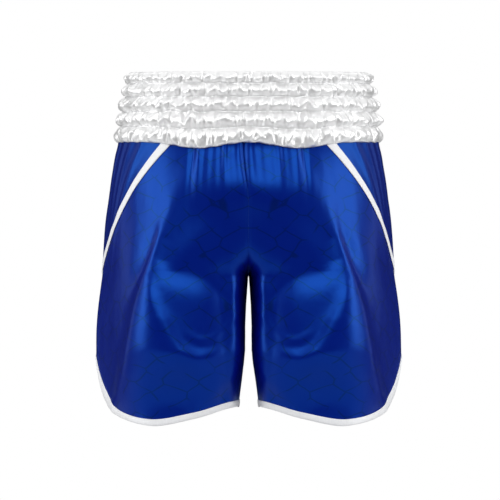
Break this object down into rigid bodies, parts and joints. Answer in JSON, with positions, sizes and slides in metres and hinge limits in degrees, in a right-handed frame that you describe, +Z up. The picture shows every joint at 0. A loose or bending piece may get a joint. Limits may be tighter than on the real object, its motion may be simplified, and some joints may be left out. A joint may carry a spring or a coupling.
{
  "type": "boxing shorts",
  "caption": "Loose satin boxing shorts with a wide shirred elastic waistband, V side inserts, contrast tape and bound curved side vents.",
  "frame": {"origin": "centre of the waist opening, level with the top edge of the waistband", "axes": "+Z up out of the waist opening, front of the shorts faces -Y, the wearer's left side is +X"},
  "size_m": [0.4146, 0.268, 0.4777],
  "materials": {
    "white_satin": "glossy white satin, gathered",
    "white_lining": "dull side of white satin, gathered",
    "elastic": "ribbed woven elastic",
    "white_thread": "polyester sewing thread",
    "blue_satin": "royal blue satin with a faint tonal line pattern",
    "blue_insert_satin": "plain royal blue satin",
    "white_tape": "white satin tape",
    "white_binding": "white satin bias binding"
  },
  "bodies": {
    "root": {"waistband_outer_casing": "white_satin", "waistband_inner_casing": "white_lining", "waist_elastic_1": "elastic", "waist_elastic_2": "elastic", "waist_elastic_3": "elastic", "waist_elastic_4": "elastic", "waist_elastic_5": "elastic", "shirring_threads": "white_thread", "front_panel_left": "blue_satin", "front_panel_right": "blue_satin", "back_panel_left": "blue_satin", "back_panel_right": "blue_satin", "side_insert_left": "blue_insert_satin", "side_insert_right": "blue_insert_satin", "side_tape_front_left": "white_tape", "side_tape_front_right": "white_tape", "side_tape_back_left": "white_tape", "side_tape_back_right": "white_tape", "hem_binding_front_left": "white_binding", "hem_binding_front_right": "white_binding", "hem_binding_back_left": "white_binding", "hem_binding_back_right": "white_binding"}
  },
  "joints": []
}
